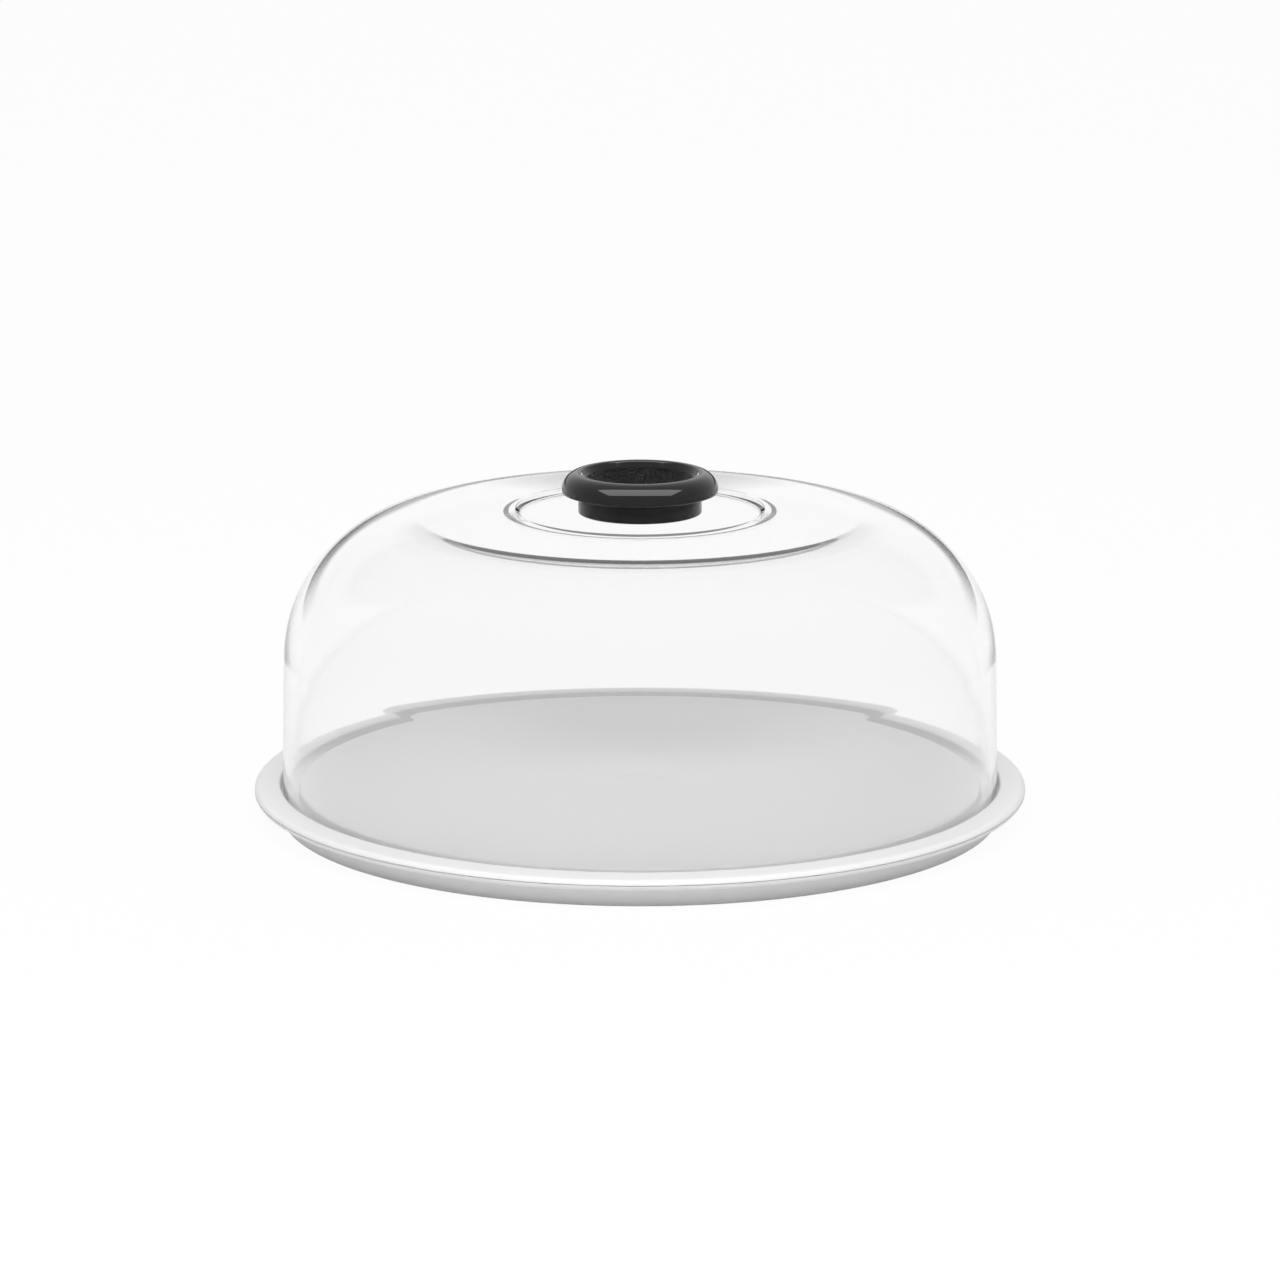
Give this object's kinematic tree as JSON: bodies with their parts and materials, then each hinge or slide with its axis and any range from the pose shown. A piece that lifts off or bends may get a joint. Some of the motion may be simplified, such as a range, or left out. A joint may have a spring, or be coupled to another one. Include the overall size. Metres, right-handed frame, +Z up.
{
  "type": "dome cover with platter",
  "caption": "Round white platter with a seat channel round its plate, and a clear flat-topped dome with a black cup-shaped pull knob that stands in the channel and lifts off.",
  "frame": {"origin": "centre of the foot ring on the surface that it stands on", "axes": "+Z up along the common axis of the platter, the dome and the knob; X and Y lie on the table"},
  "size_m": [0.33, 0.33, 0.148],
  "materials": {
    "platter": "satin white",
    "dome": "clear, polished",
    "knob": "glossy black",
    "insert": "turned",
    "washer": "clear soft",
    "screw": "stainless"
  },
  "bodies": {
    "platter": {"platter": "platter"},
    "cover": {"dome": "dome", "knob": "knob", "knob_insert": "insert", "screw_washer": "washer", "knob_screw": "screw"}
  },
  "joints": [
    {"name": "dome_lift", "type": "slide", "parent": "platter", "child": "cover", "axis": [0, 0, 1], "range_m": [0, 0.2]}
  ]
}
